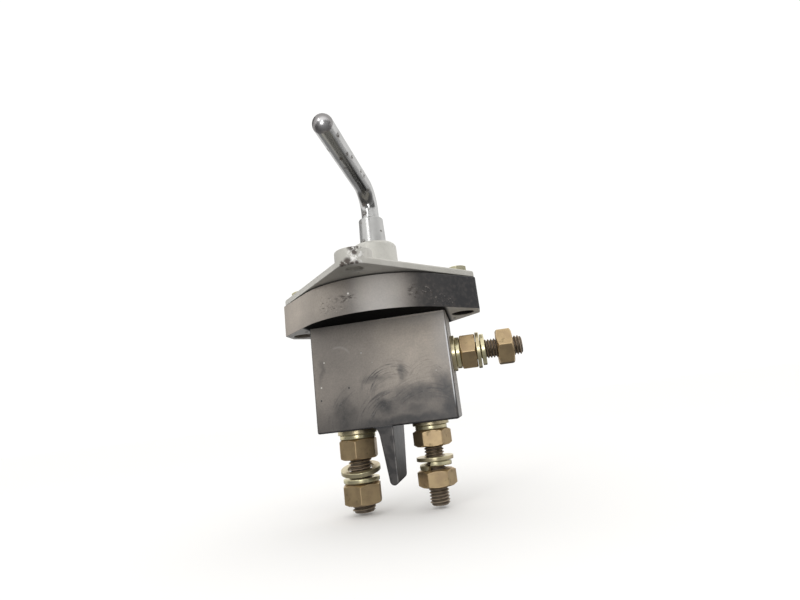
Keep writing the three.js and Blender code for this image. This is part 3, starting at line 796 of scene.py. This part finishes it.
def simple(name, colour, rough, metal, grain=0.8, depth=8):
    m = Look(name, colour, rough, metal)
    m.blend([c * 0.75 for c in colour], m.blotch(grain * 7, 3, 0.4, 0.7, 2))
    m.roughen(m.blotch(grain * 4, 3, 0.4, 0.7, 5), 0.1)
    m.raise_by(m.noise(grain, 3), depth)
    m.done()


ARM_MARKS = (
    ((0.6, -59.9, 54.2), 1.1), ((0.7, -46.1, 52.1), 0.9), ((1.9, -40.8, 53.1), 0.8),
    ((2.9, -26.9, 52.3), 0.8), ((3.2, -21.7, 51.9), 0.8), ((2.4, -10.6, 49), 0.9),
    ((-6.7, -52.8, 52.2), 0.9), ((-2.6, -45.6, 50.4), 0.9), ((-3, -37.4, 49.8), 0.7),
    ((-1.8, -4.6, 43.5), 1.2), ((-2.6, -4.3, 38.5), 1.7), ((-1.2, -4.8, 46.5), 1.3),
)
HUB_MARKS = (((-4.6, -5.3, 32.7), 0.5), ((5.9, -3.8, 26.5), 0.6), ((-4.6, -5.5, 20.8), 1.9))

phenolic()
casting()
bright_steel("lever_steel", (0.57, 0.57, 0.565), 0.2, ARM_MARKS, painted_lever_light=True)
bright_steel("hub_steel", (0.55, 0.55, 0.54), 0.3, HUB_MARKS, turning=1)
bright_steel("steel", (0.5, 0.5, 0.49), 0.3, turning=1)
bright_steel("satin_steel", (0.45, 0.45, 0.44), 0.42)
simple("spring_steel", (0.3, 0.3, 0.31), 0.35, 1, 0.5)
simple("bronze", (0.5, 0.33, 0.16), 0.38, 1)
simple("copper", (0.62, 0.31, 0.19), 0.33, 1)
simple("silver", (0.72, 0.72, 0.70), 0.28, 1)
simple("rubber", (0.02, 0.02, 0.02), 0.75, 0)
simple("gasket", (0.035, 0.03, 0.025), 0.85, 0, 0.6, 25)
simple("insulator", (0.14, 0.08, 0.045), 0.6, 0)
zinc("zinc_bolt", (0.62, 0.58, 0.42), (0.55, 0.53, 0.36), 0.4, grime=0.3)
zinc("zinc_nut", (0.57, 0.43, 0.245), (0.47, 0.345, 0.205), 0.40)
zinc("zinc_washer", (0.74, 0.66, 0.43), (0.60, 0.48, 0.31), 0.28, 14.0, 0.12, 0.1)
threaded("stud_steel")


# ---- housing and cover
BASE = "housing_body"
OVER = 5  # how far a cutting tool runs past a face
FLANGE_TOP, BODY_FOOT, CAVITY_FOOT = 17.2, -53.1, -46
BODY_X, BODY_Y, WALL = 35.3, 17.2, 4  # the body's half widths and its wall
PLATE_FOOT, PLATE_TOP, BOSS_TOP = 17.6, 21, 44.9
BOLT_X, PAD_Y, STUD_X = 44, 51.5, 19.4
TO_X = Matrix.Rotation(QUARTER, 4, "Y")
TO_Y = Matrix.Rotation(-QUARTER, 4, "X")
DOWN = Matrix.Rotation(pi, 4, "X")
HUB_PIN = Matrix.Translation((0, 0, 50)) @ TO_Y
CAM_PIN = Matrix.Translation((0, 0, 10.5)) @ Matrix.Rotation(radians(45), 4, "Z") @ TO_Y


def rod(r, bottom, top, x=0, y=0, sides=48, chamfer=0, mouth=0):
    """An upright cylinder; chamfer widens its lower end at height `mouth`, for a cutting tool."""
    profile = [(0, bottom), (r + chamfer, bottom)]
    if chamfer:
        profile += [(r + chamfer, mouth), (r, mouth + chamfer)]
    profile += [(r, top), (0, top)]
    return lathe(profile, sides, (x, y))


def rectangle(x, y, r=0):
    return rounded([(x, -y), (x, y), (-x, y), (-x, -y)], r, 6)


def fin_shell():
    """The barrier fin between the lower studs, its left side flaring into the body."""
    right, tip_left, root_left, bottom, root = 2.93, -1.4, -4.3, -80.2, -52.1
    r = (right - tip_left) / 2
    outline = [(right, root), (root_left - 3, root)]
    for k in range(9):
        t = k / 8
        x = root_left - 3 * (1 - t) ** 2 - 0.6 * t * (1 - t) + 0.3 * t**2
        outline.append((x, BODY_FOOT - 4 * t**2))
    outline += arc(tip_left + r, bottom + r, r, 180, 360, 16)
    shell = block(tidy(outline), -BODY_Y, BODY_Y, 0.9, 0.55).moved(Matrix.Rotation(QUARTER, 4, "X"))
    for v in shell.verts:
        if v.y > 0:
            v.y -= 0.34 * max(0, BODY_FOOT - v.z)
    return shell


def housing():
    flange = block(rhombus(53, 5.6, -5.8, 46, 1.1), 0, FLANGE_TOP, 0.45, 0.5)
    body = block(rectangle(BODY_X, BODY_Y, 1.2), BODY_FOOT, 1, 1)
    cutters = [
        block(rectangle(BODY_X - WALL, BODY_Y - WALL), CAVITY_FOOT, FLANGE_TOP + OVER),
        rod(15.2, -2.5, FLANGE_TOP + OVER, sides=64),
        rod(22.3, 15.15, FLANGE_TOP + OVER, sides=64),
        rod(6.3, BODY_FOOT - OVER, CAVITY_FOOT + OVER, -STUD_X),
        rod(5.3, BODY_FOOT - OVER, CAVITY_FOOT + OVER, STUD_X),
        rod(5.3, BODY_X - WALL - OVER, BODY_X + OVER, 20.5).moved(TO_X),
    ]
    for side in (-1, 1):
        cutters.append(rod(3.4, -OVER, FLANGE_TOP + OVER, side * BOLT_X))
        cutters.append(rod(5.9, -OVER, 10, side * BOLT_X, chamfer=0.3))
        cutters.append(rod(1, -OVER, 3, side * 38.9, side * 11.5, 20))
    posts = [rod(1.8, -47, -38, 0, side * 9.3, 20) for side in (-1, 1)]
    obj = combined("housing_moulding", [body, flange, fin_shell()], cutters, posts)
    finished(obj, BASE, "phenolic", "housing")


def cover():
    root = 19.5  # inside the plate
    plate = block(rhombus(52.5, 4.5, PAD_Y, 8.6, 1.6), PLATE_FOOT, PLATE_TOP, 0.35, 1)
    boss = [(0, root), (14.2, root)] + arc(14.2, 22.4, 1.4, 270, 180)
    boss += arc(10.3, 42.6, 2.3, 0, 90, 8) + [(0, BOSS_TOP)]
    pad = [(0, root), (8.6, root)] + arc(7.9, 24.8, 0.7, 0, 90) + [(0, DROP)]
    shells = [plate, lathe(boss, 96)]
    below = PLATE_FOOT - OVER
    cutters = [rod(8.1, below, 40.6, sides=64), rod(7.6, 39.6, BOSS_TOP + OVER, sides=64)]
    for side in (-1, 1):
        shells.append(lathe(pad, 80, (0, side * PAD_Y)))
        cutters.append(rod(3.75, below, DROP + OVER, 0, side * PAD_Y, 48, 0.35, PLATE_FOOT))
        cutters.append(rod(3.4, below, PLATE_TOP + OVER, side * BOLT_X))
    obj = combined("cover_casting", shells, cutters)
    finished(obj, BASE, "cast_cover", "cover_plate")


# ---- lever and hub
def lever_rod():
    """A round bar that rises from the hub, bends at the knee and ends in a half ball."""
    r, bend_r, sides = 4.9, 12.5, 56
    foot, knee, tip = Vector((0, 0, 55.7)), Vector((0, 0, 77.6)), Vector((-4.3, -66.3, 82.2))
    along = (tip - knee).normalized()
    turn = along.angle(UP)
    tangent = bend_r * tan(turn / 2)
    inward = (along - UP * along.dot(UP)).normalized()
    bend_start, bend_end = knee - UP * tangent, knee + along * tangent
    centre = bend_start + inward * bend_r
    side = UP.cross(inward)
    path = [(foot, UP, r - 0.4), (foot + UP * 0.4, UP, r)]
    path += [(foot.lerp(bend_start, k / 4), UP, r) for k in (2, 3)]
    for k in range(25):
        t = turn * k / 24
        place = centre - inward * (bend_r * cos(t)) + UP * (bend_r * sin(t))
        path.append((place, UP * cos(t) + inward * sin(t), r))
    path += [(bend_end.lerp(tip, k / 12), along, r) for k in range(1, 13)]
    for k in range(1, 14):
        t = QUARTER * k / 14
        path.append((tip + along * (r * sin(t)), along, r * cos(t)))
    shell = Shell()
    rings = [shell.ring(circle(place, side, way.cross(side), width, sides))
             for place, way, width in path]
    shell.faces.append(tuple(reversed(rings[0])))
    rings.append(shell.ring([tip + along * r]) * sides)
    obj = linked("lever_arm", shell.skin(rings, capped=False).mesh("lever_arm"))
    finished(obj, "lever", "lever_steel", "lever_rod", weighted=False)


def pin_hole(bottom, matrix):
    return rod(1.6, bottom, 12, sides=32).moved(matrix)


def lever_hub():
    profile = [(0, 54), (5.1, 54), (5.1, 46.1), (5.5, 45.6), (7.05, 45.6), (7.35, 45.9)]
    profile += [(6.87, 60.2)] + arc(6.35, 60.28, 0.5, 15, 90, 4)
    profile += [(5.3, 60.8), (5, 60.5), (5, 55.5), (0, 55.5)]
    obj = combined("lever_socket", [lathe(profile, 80)], [pin_hole(-3.3, HUB_PIN)])
    finished(obj, "lever", "hub_steel", "lever_hub")


# ---- hexagons, washers and threads
CORNER_STEPS = (0, 0.8, 2, 5, 10, 18, 30, 42, 50, 55, 58, 59.2)  # degrees from each corner
SOFT = 70  # higher makes a hexagon's corners sharper


def hexagon(flats, corner):
    """Points of a hexagon whose corners are slightly rounded, and how near each is to a corner."""
    points, wear = [], []
    for k in range(6):
        for step in CORNER_STEPS:
            turn = radians(corner + 60 * k + step)
            sides = [radians(corner + 30 + 60 * n) for n in range(6)]
            total = sum(max(0, cos(turn - side)) ** SOFT for side in sides)
            r = flats / 2 / total ** (1 / SOFT)
            points.append(around(r, turn))
            wear.append(max(0, 1 - min(step, 60 - step) / 2))
    return points, wear


def nut_shell(flats, bore, bottom, height, corner, lower=True, solid=False):
    """A hexagon nut with 30 degree chamfers, from `bottom` up; solid makes it a bolt's head."""
    outline, wear = hexagon(flats, corner)
    spokes = [Vector(p).normalized() for p in outline]
    start = flats / 2 * 0.955
    top = bottom + height
    slope = tan(radians(30))
    drop = [max(0, hypot(*p) - start) * slope for p in outline]
    low = drop if lower else [0] * len(drop)
    shell = Shell()

    def flat(r, z):
        return shell.ring([(s.x * r, s.y * r, z) for s in spokes], 0.15)

    def side(heights, worn):
        points = [(*p, z) for p, z in zip(outline, heights)]
        return shell.ring(points, [max(w * 0.8, worn) for w in wear])

    rings = [
        flat(start, bottom),
        side([bottom + d for d in low], 0.7),
        side([bottom + d + 0.45 for d in low], 0),
        side([top - d - 0.45 for d in drop], 0),
        side([top - d for d in drop], 0.7),
        flat(start, top),
    ]
    if solid:
        return shell.skin(rings)
    mouth = [flat(bore, bottom + 0.6), flat(bore + 0.6, bottom)]
    rings = mouth + rings + [flat(bore + 0.6, top), flat(bore, top - 0.6), mouth[0]]
    return shell.skin(rings, capped=False)


def washer_section(inner, outer, low, high, burr, outer_wear, flat_wear=None):
    """A section with rounded corners, as (radius, height, wear)."""
    section = []
    for cx, cz, start, worn in (
        (outer - burr, low + burr, 270, outer_wear),
        (outer - burr, high - burr, 0, outer_wear),
        (inner + burr, high - burr, 90, 0.2),
        (inner + burr, low + burr, 180, 0.2),
    ):
        ends = worn if flat_wear is None else flat_wear
        edge = arc(cx, cz, burr, start, start + 90, 3)
        section += [(*point, w) for point, w in zip(edge, (ends, worn, worn, ends))]
    return section


def washer_shell(inner, outer, bottom, thick):
    return lathe(washer_section(inner, outer, bottom, bottom + thick, 0.28, 0.7, 0.1), 84)


def split_washer_shell(inner, outer, at, thick, lift, gap, steps=72):
    """A split ring whose ends stand `lift` apart along the stud, its cut ends slanting."""
    section = washer_section(inner, outer, 0, thick, 0.4, 0.6)
    shell = Shell()
    rings = []
    for k in range(steps + 1):
        share = k / steps
        ring = []
        for r, z, _ in section:
            slant = 5 * (z / thick - 0.5) if k in (0, steps) else 0
            turn = radians(gap + 350 * share + slant)
            ring.append((*around(r, turn), at + lift * share + z))
        rings.append(shell.ring(ring, [worn for _, _, worn in section]))
    return shell.skin(rings)


def thread_shell(r, pitch, bottom, top, columns=48, rows=10):
    """A threaded stud: its rows of vertices follow the helix."""
    shell = Shell()
    count = int((top - bottom) / pitch * rows) + 2 * rows + 2
    grid = {}
    for j in range(count):
        for i in range(columns):
            turn = tau * i / columns
            z = min(top, max(bottom, bottom + pitch * ((j - rows) / rows + i / columns)))
            phase = abs(2 * (((z - bottom) / pitch - i / columns) % 1) - 1)
            cut = min(1, max(0, (phase - 0.12) / 0.7))
            ends = [r - 1.3 + min(1.3, 1.2 * inside) for inside in (top - z, z - bottom)]
            width = min(r - 0.6 * pitch * cut, *ends)
            grid[i, j] = shell.ring([(*around(width, turn), z)], 1 - cut)[0]
    for j in range(count - 1):
        for i in range(columns):
            step = rows if i + 1 == columns else 0
            ahead, corner = [((i + 1) % columns, j + step + up) for up in (0, 1)]
            if ahead in grid and corner in grid:
                shell.faces.append((grid[i, j], grid[ahead], grid[corner], grid[i, j + 1]))
    shell.faces.append(tuple(grid[i, 0] for i in reversed(range(columns))))
    shell.faces.append(tuple(grid[i, count - 1] for i in range(columns)))
    return shell


# The thread's radius and pitch, the nut's flats and height, the washers' outer radii.
M12 = {"r": 6, "pitch": 1.75, "flats": 18, "flat": 10.2, "spring": 9.3, "height": 10}
M10 = {"r": 5, "pitch": 1.5, "flats": 17, "flat": 9.3, "spring": 8.1, "height": 8}
# Heights count outwards from the body's face. A stud has its two ends, a flat washer its place,
# thickness and tilt, a spring washer its place, thickness, lift and gap, a nut its place and turn.
TERMINALS = {
    "left": {
        "size": M12, "place": (-STUD_X, 0, BODY_FOOT), "turn": DOWN, "stud": (-15.1, 40.4),
        "flat": (0.05, 2.2, 0), "spring": (2.35, 2.15, 0, 200), "nut": (4.6, 25),
        "loose_flat": (18.8, 2.2, 12), "loose_spring": (23.8, 2.1, 0, 250),
        "loose_nut": (26.5, 22),
    },
    "right": {
        "size": M10, "place": (STUD_X, 0, BODY_FOOT), "turn": DOWN, "stud": (-15.1, 40.4),
        "flat": (0.05, 1.8, 0), "spring": (1.95, 2.05, 0, 220), "nut": (4.1, 53),
        "loose_flat": (17.2, 1.9, 0), "loose_spring": (21.35, 2.1, -2.2, 112),
        "loose_nut": (23.5, 52),
    },
    "side": {
        "size": M10, "place": (BODY_X, 0, -20.5), "turn": TO_X, "stud": (-10.8, 36),
        "flat": (0.05, 2, 0), "spring": (2.25, 2.2, 0, 60), "nut": (4.7, 36),
        "loose_flat": (12.85, 1.9, 0), "loose_spring": (14.95, 2.1, 0.4, 90),
        "loose_nut": (23.3, 28),
    },
}


def terminal(word, t):
    size = t["size"]
    r = size["r"]
    home = Matrix.Translation(t["place"]) @ t["turn"]

    def make(name, slot, node, *shells, matrix=home, **how):
        obj = combined(f"{name}_{word}", [shell.moved(matrix) for shell in shells])
        finished(obj, BASE, slot, f"{node}_{word}", **how)

    start, end = t["stud"]
    stud = [thread_shell(r, size["pitch"], start, end)]
    if word == "side":
        stud.append(nut_shell(15, 0, start - 4.4, 4.5, 0, solid=True))
    make("threaded_stud", "stud_steel", "stud", *stud, sharp=50, weighted=False)
    for hanging, loose, nut in (("", "", "clamp_nut"), ("hanging_", "loose_", "loose_nut")):
        at, thick, tilt = t[loose + "flat"]
        place = Matrix.Translation((0, 0, at + thick / 2)) @ Matrix.Rotation(radians(tilt), 4, "X")
        flat = washer_shell(r + (0.7 if tilt else 0.4), size["flat"], -thick / 2, thick)
        make(hanging + "plain_washer", "zinc_washer", loose + "flat_washer", flat,
             matrix=home @ place)
        spring = split_washer_shell(r + 0.4, size["spring"], *t[loose + "spring"])
        make(hanging + "lock_washer", "zinc_washer", loose + "spring_washer", spring)
        at, corner = t[loose + "nut"]
        hexagonal = nut_shell(size["flats"], r + 0.15, at, size["height"], corner)
        make(hanging + "hex_nut", "zinc_nut", nut, hexagonal)


def cover_bolt(word, side):
    head = nut_shell(10, 0, PLATE_TOP + 0.05, 4, 30, lower=False, solid=True)
    shank = lathe([(0, 3.6), (2.6, 3.6), (3, 4), (3, 22), (0, 22)], 40)
    place = Matrix.Translation((side * BOLT_X, 0, 0))
    obj = combined(f"hex_bolt_{word}", [head.moved(place), shank.moved(place)])
    finished(obj, BASE, "zinc_bolt", f"cover_bolt_{word}")


# ---- springs and turned pieces inside
DETENT_R, DETENT_TURN = 9.5, radians(30)
DETENT_PLACE = around(DETENT_R, DETENT_TURN)


def coil_shell(r, wire, bottom, top, turns, centre):
    """A coil spring: a round wire of radius `wire` swept up its helix."""
    shell = Shell()
    rings = []
    steps = 32 * turns
    for k in range(steps + 1):
        out = Vector((*around(1, tau * turns * k / steps), 0))
        rise = bottom + wire + (top - bottom - 2 * wire) * k / steps
        rings.append(shell.ring(circle(Vector((*centre, rise)) + out * r, out, UP, wire, 14)))
    return shell.skin(rings)


def coil_spring(node, body, r, wire, bottom, top, turns, centre, joint=None):
    """A spring; where a joint is named, it is given a mesh of its own."""
    name = node.replace("spring", "coil_spring")
    obj = linked(name, coil_shell(r, wire, bottom, top, turns, centre).mesh(name))
    finished(obj, body, "spring_steel", node, weighted=False)
    if joint:
        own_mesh(obj)


def springs():
    cavity_foot, carriage_foot, bridge_top = -45.95, -13.05, -23.95
    for word, side in (("front", -1), ("back", 1)):
        coil_spring(f"return_spring_{word}", BASE, 2.9, 0.45, cavity_foot, carriage_foot,
                    6, (0, side * 9.3), "carriage_slide")
    coil_spring("contact_spring", "carriage", 5, 0.75, bridge_top, carriage_foot,
                4, (0, 0), "bridge_overtravel")
    coil_spring("detent_spring", "lever", 2.3, 0.4, 4.05, 10, 3, DETENT_PLACE)


def inner_piece(node, body, slot, shell, cutters=()):
    finished(combined(node + "_turned", [shell], cutters), body, slot, node)


def turned(outer, bottom, top, inner=0, centre=(0, 0), edge=0.3):
    """A round bar or a ring, its outer edges chamfered."""
    profile = [(inner, bottom), (outer - edge, bottom), (outer, bottom + edge)]
    profile += [(outer, top - edge), (outer - edge, top), (inner, top)]
    return lathe(profile, 64, centre)


def inner_pieces():
    inner_piece("shaft_bush", BASE, "bronze", turned(8, 19.2, 40.4, 5.1))
    inner_piece("shaft_seal", BASE, "rubber", turned(7.5, 41, 44.6, 5.15))
    inner_piece("hub_pin", "lever", "steel", turned(1.5, -3, 6.8).moved(HUB_PIN))
    inner_piece("cam_pin", "lever", "steel", turned(1.5, -13.8, 13.8).moved(CAM_PIN))
    shaft = [(0, -1.5), (4.5, -1.5), (5, -1), (5, 17.7), (4.5, 17.7), (4.5, 18.8), (5, 18.8)]
    shaft += [(5, 53.3), (4.5, 53.8), (0, 53.8)]
    holes = [pin_hole(-3.3, HUB_PIN), pin_hole(-12, CAM_PIN)]
    inner_piece("shaft", "lever", "steel", lathe(shaft, 64), holes)
    ball = [(0, 10.05), *arc(0, 13.05, 3, -90, 90, 24)[1:-1], (0, 16.05)]
    inner_piece("detent_ball", "detent", "steel", lathe(ball, 40, DETENT_PLACE))
    foot, face = 15.2, 16.1
    plate = [(6.2, foot), (6.7, foot), (7.1, face), (11.9, face), (12.3, foot), (22, foot)]
    plate += [(22, FLANGE_TOP), (6.2, FLANGE_TOP)]
    places = [around(DETENT_R, DETENT_TURN + k * QUARTER) for k in range(4)]
    pockets = [rod(2.4, foot - OVER, FLANGE_TOP + OVER, *place, 40) for place in places]
    inner_piece("detent_plate", BASE, "satin_steel", lathe(plate, 96), pockets)
    for word, x in (("left", -STUD_X), ("right", STUD_X)):
        fixed = turned(4.5, -35.95, -33.2, centre=(x, 0))
        inner_piece(f"fixed_contact_tip_{word}", BASE, "silver", fixed)
        moving = turned(4, -28.5, -27.05, centre=(x, 0))
        inner_piece(f"bridge_contact_tip_{word}", "bridge", "silver", moving)


housing()
cover()
lever_rod()
lever_hub()
for word, t in TERMINALS.items():
    terminal(word, t)
cover_bolt("left", -1)
cover_bolt("right", 1)
springs()
inner_pieces()


# ---- CAD nodes that stay
SLOTS = {entry["node"]: entry["material_slot"] for entry in frame["record"]["subparts"]}
for node, obj in frame["nodes"].items():
    look = LOOKS[SLOTS[node]]
    if not obj.material_slots:
        obj.data.materials.append(look)
    for held in obj.material_slots:
        held.material = look
